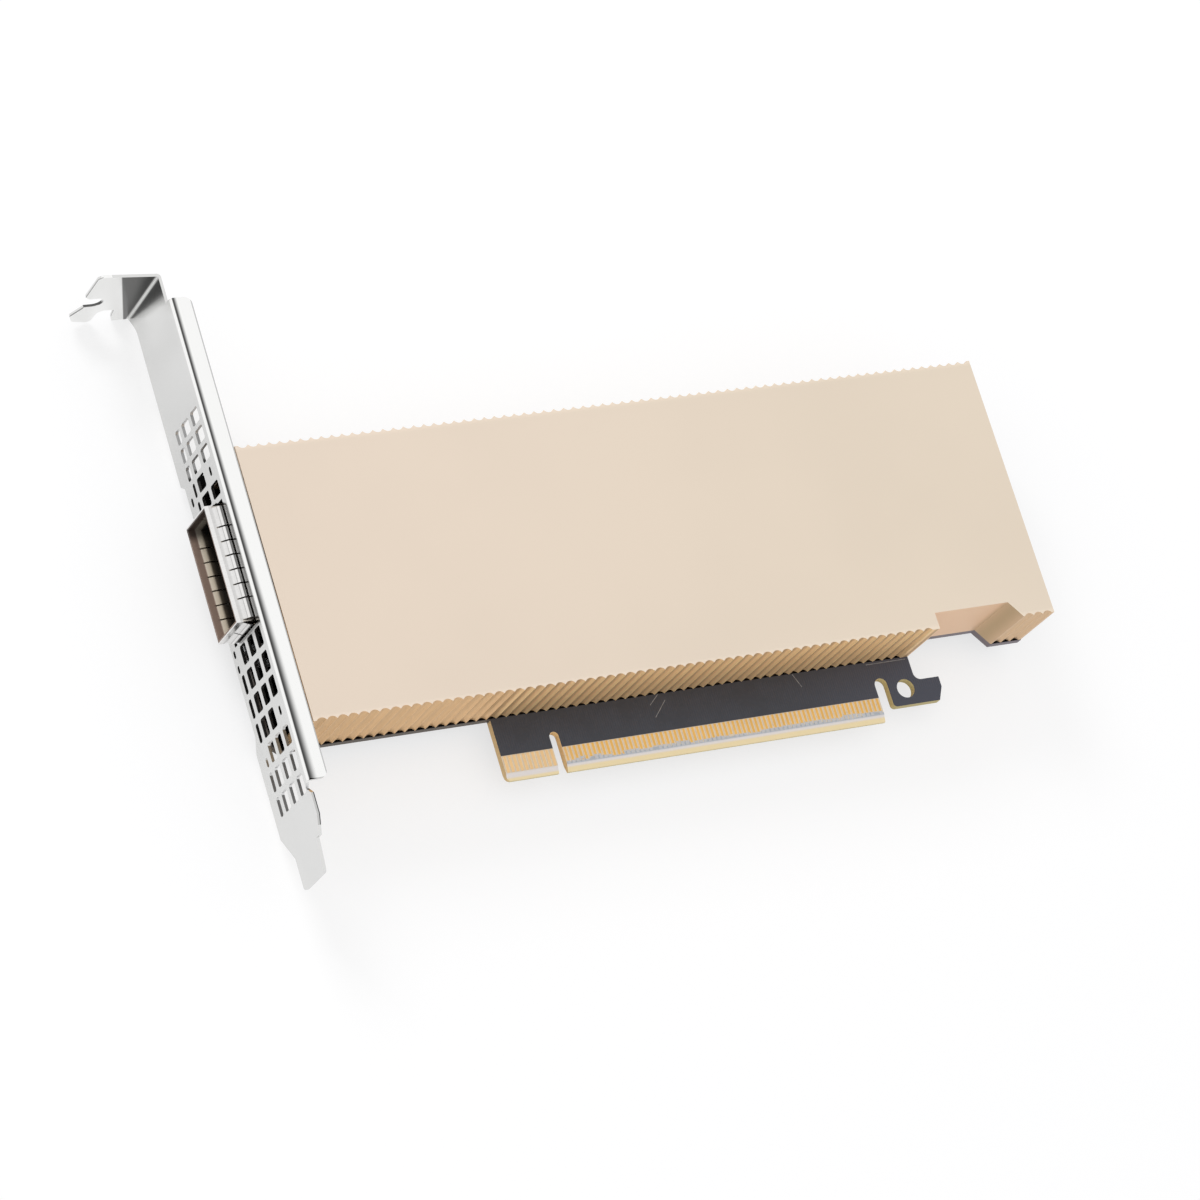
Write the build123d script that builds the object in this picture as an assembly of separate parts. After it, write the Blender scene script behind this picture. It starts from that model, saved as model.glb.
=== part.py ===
from build123d import *
import os

# An ethernet adapter card for a 16-lane slot: one transceiver port, a fluted heatsink cover over
# the whole component side and a full-height mounting bracket.
# The card lies flat. X runs from the bracket to the far end, Y from the gold edge to the top edge
# and Z out of the component side. The origin is the key notch's centre on the board's lower edge,
# halfway through the board.

# Board
board_thick = 1.57
board_length = 167.65        # bracket's outer face to the far end
board_height = 68.9          # gold edge to the top edge
board_start = 1.9            # bracket's outer face to the board's near end
notch_to_bracket = 59.05
body_low = 12.55             # lower edge of the board's body, above the gold edge
body_corner = 1.0

# Gold-edged blade
blade_front = 12.15          # key notch to the blade's front end
blade_rear = 72.15           # key notch to the blade's rear end
blade_corner = 0.9
notch_width = 1.95
notch_depth = 8.25
bevel_length = 1.55
bevel_depth = 0.5

# Retention tab behind the blade, and the board's and cover's common cut-out
slot_width = 2.8
slot_depth = 8.95
tab_low = 2.65
tab_corner = 0.8
tab_width = 6.55             # slot to neck
hole_radius = 1.95
hole_inset = 3.85            # slot to the hole's centre
hole_height = 6.1
hook_length = 5.5
hook_top = 7.55
hook_chamfer_x = 1.35
hook_chamfer_y = 2.75
neck_radius = 1.5
cut_height = 3.45
cut_width = 17.15
cut_slant = 2.6

# Edge contacts
contact_pitch = 1.0
contact_width = 0.7
contact_thick = 0.05
contact_top = 4.9
contact_cut_back = 0.75      # how much shorter the presence contacts are
contacts_before_notch = 11
contacts_after_notch = 71
first_contact = 1.5          # key notch to the nearest contact on either side
short_front = (17, 31, 48, 81)
short_back = (1,)

# Bracket sheet
sheet = 0.6
bend_inner = 0.2
bracket_width = 18.42
bracket_length = 120.02      # tab's underside to the tongue's tip
tab_underside = 105.1        # above the gold edge
bracket_near = 14.62         # flange's outer face above the component side
flange_depth = 4.25
flange_start = 16.52         # tongue's tip to the flange
flange_high = 99.4
flange_corner = 1.5
inset_margin = 5.5           # lower end of the inset to the lower ear's middle
inset_drop = 1.5             # board's top edge to the upper end of the inset
inset_slope = 2.8
inset_run = 1.0
tongue_width = 10.4
tongue_length = 6.4
tongue_corner = 0.9
tongue_shoulder = 5.2
tongue_flare = 1.0
tongue_offset = 4.0          # bracket's far edge to the tongue
relief_depth = 1.7
relief_height = 2.4
relief_run = 4.2
relief_neck = 1.0
upper_inset = 2.3
upper_overhang = 2.1
root_drop = 3.45
root_radius = 4.6
mount_tab_reach = 12.4
tab_rounding = 0.9
screw_slot_width = 3.5
screw_slot_depth = 4.2
screw_slot_offset = 6.9      # far edge of the bracket to the slot's middle
# Corners of the folded tab past its bend: reach from the bracket's face, rise from the slot's middle
tab_corners = (
    (11.6, 10.9), (12.4, 10.1), (12.5, 2.65), (11.5, 1.75), (11.6, -2.05), (13.3, -5.35),
    (12.2, -7.75), (8.2, -8.75), (7.9, -4.75), (6.8, -3.95), (4.6, -4.15), (4.2, -7.25), (3.5, -9.0))
ear_length = 11.0
ear_width = 9.0
ear_drop = 6.9               # board's top edge to the upper ear's middle
ear_hole_inset = 8.0

# Ventilation windows in the bracket
vent_chamfer = 0.3
low_vent_gap = 0.635         # port's window to the first row under it
low_vent_end = 14.6          # tongue's tip to the lowest place for a row
low_vent_pitch = 4.9
low_vent_height = 3.75
low_vent_width = 2.75
low_vent_step = 4.08
low_vent_start = 2.05        # second column's far side above the component side
narrow_vent_width = 1.3
narrow_vent_start = -0.7
high_vent_gap = 1.065        # port's window to the last row above it
high_vent_pitch = 3.78
high_vent_rows = 5
high_vent_height = 2.8
high_vent_width = 3.72
high_vent_step = 5.13
high_vent_start = 4.0
high_narrow_wide = 2.1       # third column, rows over the board's edge
high_narrow_tight = 1.05
slit_width = 0.9
slit_length = 1.8
slit_drop = 0.95             # slits' middles under the component side
lamp_slit_length = 1.5
lamp_slit_drop = 1.9         # top of the low vents to the middle of the two lamp slits
lamp_slit_pitch = 3.0

# Transceiver cage
port_width = 22.8            # clear width for the module
port_height = 9.7
port_drop = 22.55            # board's top edge to the port's middle
port_floor = 1.45            # above the component side
cage_sheet = 0.25
cage_front = 3.3             # in front of the bracket's outer face
cage_length = 56.0
cage_leg_width = 1.2
cage_leg_count = 6
cage_window_start = 16.0
cage_window_length = 26.0
cage_window_margin = 3.6

# Spring fingers round the cage's mouth
spring_sheet = 0.15
spring_band = 1.1
long_flare = 0.85
short_flare = 0.72
flare_crest = 0.75           # fingers' crest to the bracket's outer face
flare_drop = 0.2             # how much lower the fingers are where they pass the bracket
finger_pitch = 2.9
finger_slit = 0.3
finger_end = 3.6             # widest end finger of a row, before its first slit
spring_clearance = 0.12
inner_finger_length = 4.6
inner_finger_rise = 0.35

# Module connector at the back of the cage
connector_length = 11.0
connector_margin = 0.6
connector_slot = 1.6
connector_slot_depth = 6.0
lane_count = 15
lane_width = 0.5
lane_thick = 0.25
lane_side_gap = 0.55         # slot's side to the first lane

# Heatsink cover
cover_height = 14.45         # above the component side
cover_top_wall = 1.3
cover_side_wall = 2.3
cover_end_gap = 0.3          # from the bracket's flange
cover_far_gap = 0.1
cover_low_gap = 0.05
cover_high_gap = 0.7
flute_pitch = 2.158
flute_depth = 0.52
flute_land = 0.14
boss_radius = 2.5
boss_wall_overlap = 0.9
boss_places_low = (-6.0, 73.5)
boss_places_high = (-6.0, 96.0)

# Fin block
fin_start = 3.0
fin_end_gap = 4.0
fin_side_gap = 0.6
fin_base = 2.4
fin_thick = 0.5
fin_pitch = 2.6
post_radius = 2.2
post_spread = 19.0           # processor's middle to the posts, along the card
post_inset = 1.8             # fin block's long sides to the posts

# Processor and the parts beside it
processor_x = 36.0
substrate_side = 31.0
substrate_thick = 1.1
lid_side = 27.0
lid_brim = 0.8
lid_raise = 1.8
lid_step = 2.5
inductor_side = 6.6
inductor_height = 3.0
power_rows = 4
power_pitch = 9.4
inductor_first = 63.5
inductor_step = 26.0
stage_first = 72.0
stage_step = 9.0
stage_length = 6.0
stage_width = 5.0
stage_height = 0.9
bulk_length = 4.3
bulk_width = 7.3
bulk_height = 2.8
bulk_column = 98.0
chip_length = 1.6
chip_width = 0.8
chip_height = 0.8
ceramic_pitch = 3.0
chip_count = 8
chip_gap = 2.0
oscillator_length = 3.2
oscillator_width = 2.5
oscillator_height = 1.0
flash_side = 5.3
flash_height = 1.8
controller_side = 9.0
controller_x = -26.0
controller_height = 1.2
support_column = 12.0
support_pitch = 10.0

# Riding heat spreader on the cage, and its clip
spreader_plate = 1.3
spreader_margin = 1.6
spreader_drop = 0.5
spreader_clearance = 0.3
clip_sheet = 0.3
clip_width = 5.0
clip_reach = 4.0

# Light guides and their lamps
guide_width = 0.7
guide_height = 1.1
guide_thick = 2.0
guide_length = 7.0
lamp_length = 1.6
lamp_height = 0.7

# Back of the board
film_thick = 0.2
plate_thick = 1.0
plate_margin = 3.4
plate_window = 24.0
screw_radius = 1.15
screw_clearance = 0.2
screw_bite = 4.0
tap_spare = 1.0              # cover's tapped holes past the screws' ends
head_radius = 2.1
head_height = 0.85
head_corner = 0.25
drive_side = 1.3
drive_depth = 0.45
back_chip_rows = 3
back_chip_columns = 4
back_chip_pitch = 4.6

# How far a cutter reaches past what it cuts
overshoot = 1.0

# Places worked out from the sizes above
face = board_thick / 2
back = -board_thick / 2
x_bracket = -notch_to_bracket
x_inner = x_bracket + sheet
x_near = x_bracket + board_start
x_far = x_bracket + board_length
x_slot = blade_rear + slot_width
x_neck = x_slot + tab_width
z_flange = face + bracket_near
z_edge = z_flange - bracket_width
z_ear = back - sheet
bend_outer = bend_inner + sheet
y_tip = tab_underside - bracket_length
flange_low = y_tip + flange_start
inset_high = board_height - inset_drop
cover_near = x_bracket + flange_depth + cover_end_gap
cover_far = x_far - cover_far_gap
cover_low = body_low + cover_low_gap
cover_high = board_height - cover_high_gap
cover_top = face + cover_height
cover_under = cover_top - cover_top_wall
boss_low = cover_low + cover_side_wall + boss_radius - boss_wall_overlap
boss_high = cover_high - cover_side_wall - boss_radius + boss_wall_overlap
cage_x0 = x_bracket - cage_front
cage_x1 = cage_x0 + cage_length
cage_half = port_width / 2 + cage_sheet
cage_low = face + port_floor - cage_sheet
cage_high = face + port_floor + port_height + cage_sheet
cage_mid = (cage_low + cage_high) / 2
port_middle = board_height - port_drop
window_y = cage_half + short_flare + spring_sheet / 2 + spring_clearance
window_z = (cage_high - cage_low) / 2 + long_flare + spring_sheet / 2 + spring_clearance
low_vent_top = port_middle - window_y - low_vent_gap
high_vent_low = port_middle + window_y + high_vent_gap
lamp_slit_middle = low_vent_top - lamp_slit_drop
ear_hole_x = x_bracket + ear_hole_inset
ear_high = board_height - ear_drop
ear_low = (cover_low + cover_side_wall + lamp_slit_middle - lamp_slit_pitch / 2 - guide_height / 2) / 2
inset_low = ear_low - inset_margin
controller_y = (cover_low + cover_side_wall + port_middle - cage_half) / 2
lid_top = face + substrate_thick + lid_brim + lid_raise
fin_low = boss_low + boss_radius + fin_side_gap
fin_high = boss_high - boss_radius - fin_side_gap
fin_far = cover_far - fin_end_gap
processor_y = (fin_low + fin_high) / 2
post_reach = (fin_high - fin_low) / 2 - post_inset
cut_top = body_low + cut_height
z_slit = face - slit_drop
z_screw_slot = z_edge + screw_slot_offset
z_tab_near = z_flange - upper_inset
z_tab_far = z_edge - upper_overhang


def slab(x0, y0, x1, y1):
    """A rectangle between two corners."""
    return Pos((x0 + x1) / 2, (y0 + y1) / 2) * Rectangle(x1 - x0, y1 - y0)


def block(x0, y0, z0, x1, y1, z1):
    """A box between two corners."""
    place = Pos((x0 + x1) / 2, (y0 + y1) / 2, (z0 + z1) / 2)
    return place * Box(x1 - x0, y1 - y0, z1 - z0)


def rod(x, y, z0, z1, radius):
    """An upright cylinder between two heights."""
    return Pos(x, y, (z0 + z1) / 2) * Cylinder(radius, z1 - z0)


def nearest(shape, x, y):
    """The corner of a flat shape that lies nearest a place."""
    return shape.vertices().sort_by_distance((x, y, 0))[0]


def across(x):
    """The plane square to X at x, whose own directions are Y and Z."""
    return Plane(origin=(x, 0, 0), x_dir=(0, 1, 0), z_dir=(1, 0, 0))


def lengthwise(y):
    """The plane square to Y at y, whose own directions are X and Z; it extrudes towards -Y."""
    return Plane(origin=(0, y, 0), x_dir=(1, 0, 0), z_dir=(0, -1, 0))


def raised(shape, z0, z1):
    """A flat shape in X and Y, extruded from one height to another."""
    return extrude(Pos(0, 0, z0) * shape, amount=z1 - z0, dir=(0, 0, 1))


def pushed(plane, shape, amount):
    """A flat shape drawn on a plane, extruded along the plane's own normal."""
    return extrude(plane * shape, amount=amount, dir=plane.z_dir)


def power_heights():
    """The rows of the power parts, centred on the processor."""
    middle = (power_rows - 1) / 2
    return [processor_y + (row - middle) * power_pitch for row in range(power_rows)]


def post_places():
    """Where the four screws of the processor's back plate stand."""
    return [(processor_x + sx * post_spread, processor_y + sy * post_reach)
            for sx in (-1, 1) for sy in (-1, 1)]


def cover_screw_places():
    """Where screws from the back of the board enter the cover."""
    return [(x, boss_low) for x in boss_places_low] + [(x, boss_high) for x in boss_places_high]


def ear_screw_places():
    """Where the bracket's two ears are screwed through the board."""
    return [(ear_hole_x, ear_low), (ear_hole_x, ear_high)]


def cut_out_outline():
    """The cut-out near the far end, shared by the board and the cover."""
    corner = x_neck + cut_width
    below = body_low - cut_height
    return Polygon((x_neck, below), (x_neck, cut_top), (corner, cut_top),
                   (corner + cut_slant, body_low), (corner + 2 * cut_slant, below), align=None)


def board():
    """Body, blade, slot, retention tab and hook in one sheet, with its holes and bevelled edge."""
    body = slab(x_near, body_low, x_far, board_height)
    for x, y in ((x_near, body_low), (x_near, board_height), (x_far, board_height)):
        body = chamfer(nearest(body, x, y), body_corner)
    body -= cut_out_outline()
    foot = slab(-blade_front, 0, x_neck, cut_top)
    foot -= slab(x_slot - slot_width, -overshoot, x_neck + overshoot, tab_low)
    foot += slab(x_slot, tab_low, x_neck + hook_length, hook_top)
    foot = fillet(nearest(foot, x_neck, hook_top), neck_radius)
    foot = fillet(nearest(foot, -blade_front, 0), blade_corner)
    hook_end = x_neck + hook_length
    foot -= Polygon((hook_end - hook_chamfer_x, tab_low), (hook_end + overshoot, tab_low - overshoot),
                    (hook_end, tab_low + hook_chamfer_y), align=None)
    slot_radius = slot_width / 2
    foot -= slab(blade_rear, -overshoot, x_slot, slot_depth - slot_radius)
    foot = fillet(nearest(foot, x_slot, tab_low), tab_corner)
    foot -= Pos(blade_rear + slot_radius, slot_depth - slot_radius) * Circle(slot_radius)
    notch_radius = notch_width / 2
    foot -= slab(-notch_radius, -overshoot, notch_radius, notch_depth - notch_radius)
    foot -= Pos(0, notch_depth - notch_radius) * Circle(notch_radius)
    foot -= Pos(x_slot + hole_inset, hole_height) * Circle(hole_radius)
    outline = body + foot
    for x, y in cover_screw_places() + ear_screw_places() + post_places():
        outline -= Pos(x, y) * Circle(screw_radius + screw_clearance)
    solid = raised(outline, back, face)
    for side in (-1, 1):
        wedge = Polygon((-overshoot, side * face), (-overshoot, side * (face - bevel_depth)),
                        (0, side * (face - bevel_depth)), (bevel_length, side * face), align=None)
        solid -= pushed(across(-blade_front - overshoot), wedge, blade_front + blade_rear + overshoot)
    return solid


def contact_columns():
    """The X of each contact, numbered from 1 at the bracket's end."""
    before = [-first_contact - contact_pitch * i for i in range(contacts_before_notch)][::-1]
    after = [first_contact + contact_pitch * i for i in range(contacts_after_notch)]
    return before + after


def contacts(z0, z1, short):
    half = contact_width / 2
    pads = []
    for number, x in enumerate(contact_columns(), start=1):
        low = bevel_length + (contact_cut_back if number in short else 0)
        pads.append(block(x - half, low, z0, x + half, contact_top, z1))
    return pads


def cover_outline():
    """The cover seen from above: a rectangle with the cut-out."""
    return slab(cover_near, cover_low, cover_far, cover_high) - cut_out_outline()


def flutes():
    """Round cutters of the concave flutes along both long sides."""
    half_chord = (flute_pitch - flute_land) / 2
    radius = (half_chord ** 2 + flute_depth ** 2) / (2 * flute_depth)
    stand_off = radius - flute_depth
    count = int((cover_far - cover_near) // flute_pitch)
    start = (cover_near + cover_far) / 2 - (count - 1) * flute_pitch / 2
    half_pitch = flute_pitch / 2
    cut_end = x_neck + cut_width + cut_slant
    cutters = []
    for i in range(count):
        x = start + i * flute_pitch
        cutters.append(Pos(x, cover_high + stand_off) * Circle(radius))
        if not x_neck - half_pitch < x < cut_end + half_pitch:
            cutters.append(Pos(x, cover_low - stand_off) * Circle(radius))
    return cutters


def cover():
    outline = cover_outline()
    hollow = offset(outline, amount=-cover_side_wall, kind=Kind.INTERSECTION)
    inside_low = cover_low + cover_side_wall
    inside_high = cover_high - cover_side_wall
    hollow += slab(cover_near - overshoot, inside_low, cover_near + 2 * cover_side_wall, inside_high)
    hollow += slab(cover_far - 2 * cover_side_wall, inside_low, cover_far + overshoot, inside_high)
    outline -= flutes()
    solid = raised(outline, face, cover_top)
    solid -= raised(hollow, face, cover_under)
    for x, y in cover_screw_places() + ear_screw_places():
        solid += rod(x, y, face, cover_under, boss_radius)
    for x, y in cover_screw_places() + ear_screw_places():
        solid -= rod(x, y, face - overshoot, face + screw_bite + tap_spare, screw_radius)
    return solid


def fin_block():
    base_top = lid_top + fin_base
    solid = block(fin_start, fin_low, lid_top, fin_far, fin_high, base_top)
    span = fin_high - fin_low - fin_thick
    count = int(span // fin_pitch) + 1
    step = span / (count - 1)
    for i in range(count):
        y = fin_low + i * step
        solid += block(fin_start, y, base_top, fin_far, y + fin_thick, cover_under)
    for x, y in post_places():
        solid += rod(x, y, face, lid_top, post_radius)
        solid -= rod(x, y, face - overshoot, face + screw_bite, screw_radius)
    return solid


def processor_substrate():
    half = substrate_side / 2
    return block(processor_x - half, processor_y - half, face,
                 processor_x + half, processor_y + half, face + substrate_thick)


def processor_lid():
    brim_low = face + substrate_thick
    half = lid_side / 2
    inner = half - lid_step
    brim = block(processor_x - half, processor_y - half, brim_low,
                 processor_x + half, processor_y + half, brim_low + lid_brim)
    crown = block(processor_x - inner, processor_y - inner, brim_low,
                  processor_x + inner, processor_y + inner, lid_top)
    return brim + crown


def centred(x, y, z0, length, width, height):
    """A box by its middle, standing on z0."""
    return block(x - length / 2, y - width / 2, z0, x + length / 2, y + width / 2, z0 + height)


def two_columns(first, step):
    return (first, first + step)


def inductors():
    parts = []
    for x in two_columns(inductor_first, inductor_step):
        for y in power_heights():
            body = centred(x, y, face, inductor_side, inductor_side, inductor_height)
            parts.append(chamfer(body.edges().filter_by(Axis.Z), inductor_side / 12))
    return parts


def thermal_pads():
    """One soft pad along each column of inductors, squeezed under the fin block."""
    rows = power_heights()
    margin = inductor_side / 2
    low = face + inductor_height
    return [block(x - margin, rows[0] - margin, low, x + margin, rows[-1] + margin, lid_top)
            for x in two_columns(inductor_first, inductor_step)]


def power_stages():
    return [centred(x, y, face, stage_width, stage_length, stage_height)
            for x in two_columns(stage_first, stage_step) for y in power_heights()]


def bulk_capacitors():
    parts = []
    for y in power_heights():
        body = centred(bulk_column, y, face, bulk_length, bulk_width, bulk_height)
        parts.append(chamfer(body.faces().sort_by(Axis.Z)[-1].edges(), bulk_length / 20))
    return parts


def ceramic_capacitors():
    """Two rows beside the processor."""
    reach = substrate_side / 2 + chip_gap
    middle = (chip_count - 1) / 2
    parts = []
    for i in range(chip_count):
        y = processor_y + (i - middle) * ceramic_pitch
        for x in (processor_x - reach, processor_x + reach):
            parts.append(centred(x, y, face, chip_width, chip_length, chip_height))
    return parts


def oscillator():
    return centred(support_column, processor_y - 2 * support_pitch + support_pitch / 2, face,
                   oscillator_width, oscillator_length, oscillator_height)


def flash_chips():
    return [centred(support_column, processor_y + step * support_pitch, face,
                    flash_side, flash_side, flash_height) for step in (-0.5, 0.5)]


def controller():
    return centred(controller_x, controller_y, face, controller_side, controller_side,
                   controller_height)


def cage():
    outer = block(cage_x0, port_middle - cage_half, cage_low, cage_x1, port_middle + cage_half, cage_high)
    half = port_width / 2
    inner = block(cage_x0 - overshoot, port_middle - half, cage_low + cage_sheet,
                  cage_x1 - cage_sheet, port_middle + half, cage_high - cage_sheet)
    solid = outer - inner
    window_half = half - cage_window_margin
    solid -= block(cage_x0 + cage_window_start, port_middle - window_half, cage_high - 2 * cage_sheet,
                   cage_x0 + cage_window_start + cage_window_length, port_middle + window_half,
                   cage_high + overshoot)
    solid -= block(connector_x0(), port_middle - half + connector_margin, cage_low - overshoot,
                   cage_x1 - cage_sheet, port_middle + half - connector_margin, cage_low + 2 * cage_sheet)
    first = x_near + 2 * cage_leg_width
    step = (cage_x1 - cage_leg_width - first) / (cage_leg_count - 1)
    for i in range(cage_leg_count):
        x = first + i * step
        for side in (-1, 1):
            y = port_middle + side * (cage_half - cage_sheet / 2)
            solid += block(x - cage_leg_width / 2, y - cage_sheet / 2, face,
                           x + cage_leg_width / 2, y + cage_sheet / 2, cage_low + cage_sheet)
    return solid


def slit_places(width):
    """The middles of the slits that part one side's fingers."""
    count = int((width - 2 * finger_end) // finger_pitch) + 1
    return [(i - (count - 1) / 2) * finger_pitch for i in range(count)]


def finger_profile(flare):
    """One side's sheet in section: out over a crest and back through the bracket, and a low rise inside.

    X is along the card from the cage's rim, Y outwards from the cage's outer face.
    """
    middle = spring_sheet / 2
    crest = cage_front - flare_crest
    outer = Polyline((0, middle), (spring_band, middle), (crest, flare),
                     (cage_front, flare - flare_drop),
                     (cage_front + sheet + spring_band, middle + flare / 4))
    inside = -cage_sheet - middle
    inner = Polyline((0, inside), (spring_band, inside),
                     (inner_finger_length / 2, inside - inner_finger_rise),
                     (inner_finger_length, inside))
    return trace(outer, spring_sheet) + trace(inner, spring_sheet)


def finger_side(width, flare, slits):
    """A straight run of fingers along its own Y, with the slits cut."""
    run = extrude(Plane.XZ * finger_profile(flare), amount=width / 2, both=True)
    tall = flare + overshoot
    for y in slits:
        run -= block(spring_band, y - finger_slit / 2, -cage_sheet - overshoot,
                     cage_length, y + finger_slit / 2, tall)
    return run


def spring_collar():
    half_y = cage_half
    half_z = (cage_high - cage_low) / 2
    lip = cage_sheet + spring_sheet
    outer = Box(spring_band + spring_sheet, 2 * (half_y + spring_sheet), 2 * (half_z + spring_sheet))
    hole = Box(3 * spring_band, 2 * (half_y - lip), 2 * (half_z - lip))
    rim = Box(spring_band, 2 * half_y, 2 * half_z) - Box(
        3 * spring_band, 2 * (half_y - cage_sheet), 2 * (half_z - cage_sheet))
    centre = spring_band / 2
    ring = Pos(centre - spring_sheet / 2, 0, 0) * (outer - hole) - Pos(centre, 0, 0) * rim
    solid = ring
    long_side = 2 * (half_y - lip)
    short_side = 2 * (half_z - lip)
    for turn in (0, 180):
        side = Pos(0, 0, half_z) * finger_side(long_side, long_flare, slit_places(long_side))
        solid += Rot(turn, 0, 0) * side
    for turn in (90, 270):
        side = Pos(0, 0, half_y) * finger_side(short_side, short_flare, slit_places(short_side))
        solid += Rot(turn, 0, 0) * side
    return Pos(cage_x0, port_middle, cage_mid) * solid


def connector_x0():
    """The front of the connector inside the cage."""
    return cage_x1 - cage_sheet - connector_length


def connector():
    half = port_width / 2 - connector_margin
    top = cage_high - cage_sheet - connector_margin
    body = block(connector_x0(), port_middle - half, face, cage_x1 - cage_sheet, port_middle + half, top)
    slot_half = connector_slot / 2
    slot_end = connector_x0() + connector_slot_depth
    body -= block(connector_x0() - overshoot, port_middle - half + connector_slot, cage_mid - slot_half,
                  slot_end, port_middle + half - connector_slot, cage_mid + slot_half)
    return body


def connector_contacts():
    """Two rows of contacts on the slot's floor and roof."""
    slot_half = connector_slot / 2
    first = port_width / 2 - connector_margin - connector_slot - lane_side_gap - lane_width / 2
    lane_pitch = 2 * first / (lane_count - 1)
    strips = []
    for i in range(lane_count):
        y = port_middle - first + i * lane_pitch
        for low in (cage_mid - slot_half, cage_mid + slot_half - lane_thick):
            strips.append(block(connector_x0() + lane_width, y - lane_width / 2, low,
                                connector_x0() + connector_slot_depth, y + lane_width / 2,
                                low + lane_thick))
    return strips


def heat_spreader():
    """The plate that rides on the module's flat top, through the cage's window."""
    half = port_width / 2 - cage_window_margin
    start = cage_x0 + cage_window_start
    end = start + cage_window_length
    plate = block(start - spreader_margin, port_middle - half - spreader_margin, cage_high,
                  end + spreader_margin, port_middle + half + spreader_margin,
                  cage_high + spreader_plate)
    gap = spreader_clearance
    foot = block(start + gap, port_middle - half + gap, cage_high - spreader_drop,
                 end - gap, port_middle + half - gap, cage_high + spreader_plate)
    return plate + foot


def spreader_clip():
    """A flat strap over the plate, folded down both sides of the cage."""
    middle = cage_x0 + cage_window_start + cage_window_length / 2
    x0 = middle - clip_width / 2
    x1 = middle + clip_width / 2
    top = cage_high + spreader_plate
    outer = block(x0, port_middle - cage_half - clip_sheet, cage_high - clip_reach,
                  x1, port_middle + cage_half + clip_sheet, top + clip_sheet)
    inner = block(x0 - overshoot, port_middle - cage_half, cage_high - clip_reach - overshoot,
                  x1 + overshoot, port_middle + cage_half, top)
    return outer - inner


def light_guide_rows():
    """The two slits beside the first row of low vents."""
    return [lamp_slit_middle + side * lamp_slit_pitch / 2 for side in (-1, 1)]


def light_guides():
    """Clear guides: a body on the board and a nose that dips in front of its edge into the slit."""
    half = guide_height / 2
    parts = []
    for y in light_guide_rows():
        body = block(x_near, y - half, face, x_near + guide_length, y + half, face + guide_thick)
        nose = block(x_bracket + sheet / 2, y - half, z_slit - guide_width / 2,
                     x_near, y + half, face + guide_thick)
        nose -= block(x_bracket - overshoot, y - guide_height, z_slit + guide_width / 2,
                      x_inner + spring_clearance, y + guide_height, face + 2 * guide_thick)
        parts.append(body + nose)
    return parts


def lamps():
    return [centred(x_near + guide_length + lamp_length / 2, y, face, lamp_length, guide_height,
                    lamp_height) for y in light_guide_rows()]


def vent(y_top, z_far, height, width):
    hole = slab(y_top - height, z_far, y_top, z_far + width)
    return chamfer(hole.vertices(), vent_chamfer)


def slit(y, z, length=slit_length):
    return Pos(y, z) * SlotOverall(length, slit_width)


def low_vents():
    """Rows of four columns under the port, the far column narrow, with slits for four windows."""
    shapes = []
    bar = low_vent_pitch - low_vent_height
    for row in range(int((low_vent_top - y_tip - low_vent_end + bar) // low_vent_pitch)):
        y = low_vent_top - row * low_vent_pitch
        for column in range(3):
            z = face + low_vent_start + column * low_vent_step
            if row == 3 and column == 2:
                shapes.append(slit(y - low_vent_height / 2, z + low_vent_width / 2))
            else:
                shapes.append(vent(y, z, low_vent_height, low_vent_width))
        z_narrow = face + narrow_vent_start
        if row == 4:
            shapes.append(slit(y - low_vent_height + slit_length / 2, z_narrow + narrow_vent_width / 2))
        elif row > 0:
            shapes.append(vent(y, z_narrow, low_vent_height, narrow_vent_width))
    return shapes + [slit(y, z_slit, lamp_slit_length) for y in light_guide_rows()]


def high_vents():
    """Rows of three columns above the port."""
    shapes = []
    bar = high_vent_step - high_vent_width
    high_vent_top = high_vent_low + (high_vent_rows - 1) * high_vent_pitch + high_vent_height
    for row in range(high_vent_rows):
        y = high_vent_top - row * high_vent_pitch
        for column in range(2):
            z = face + high_vent_start + column * high_vent_step
            if row == 3 and column == 1:
                shapes.append(slit(y - high_vent_height / 2, z + high_vent_width / 2))
            else:
                shapes.append(vent(y, z, high_vent_height, high_vent_width))
        narrow = high_narrow_wide if row < 3 else high_narrow_tight
        shapes.append(vent(y, face + high_vent_start - bar - narrow, high_vent_height, narrow))
    last = high_vent_top - (high_vent_rows - 1.5) * high_vent_pitch
    return shapes + [slit(last - slit_length / 2, face - slit_width / 2)]


def bracket_face():
    """The bracket's long face, up to where its bends start; drawn in Y and Z."""
    z_bend = z_flange - bend_outer
    z_tongue = z_edge + tongue_offset
    y_tongue = y_tip + tongue_length
    y_low = flange_low - relief_height
    y_shoulder = y_tongue + tongue_shoulder
    y_bend = tab_underside - bend_inner
    y_root = tab_underside - root_drop
    z_relief = z_flange - relief_depth
    face_sheet = Polygon(
        (y_bend, z_tab_far), (y_root, z_edge), (inset_high + inset_run, z_edge), (inset_high, z_ear),
        (inset_low, z_ear), (inset_low - inset_slope, z_edge), (y_shoulder, z_edge),
        (y_tongue, z_tongue), (y_tip, z_tongue), (y_tip, z_tongue + tongue_width),
        (y_tongue, z_tongue + tongue_width + tongue_flare), (y_tongue, z_relief),
        (y_low - relief_run, z_flange), (y_low, z_flange), (flange_low - relief_neck, z_relief),
        (flange_low, z_bend), (flange_high, z_bend), (flange_high, z_tab_near),
        (y_bend, z_tab_near), align=None)
    face_sheet = fillet(nearest(face_sheet, y_root, z_edge), root_radius)
    for y, z in ((y_tip, z_tongue), (y_tip, z_tongue + tongue_width)):
        face_sheet = fillet(nearest(face_sheet, y, z), tongue_corner)
    return face_sheet


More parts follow.
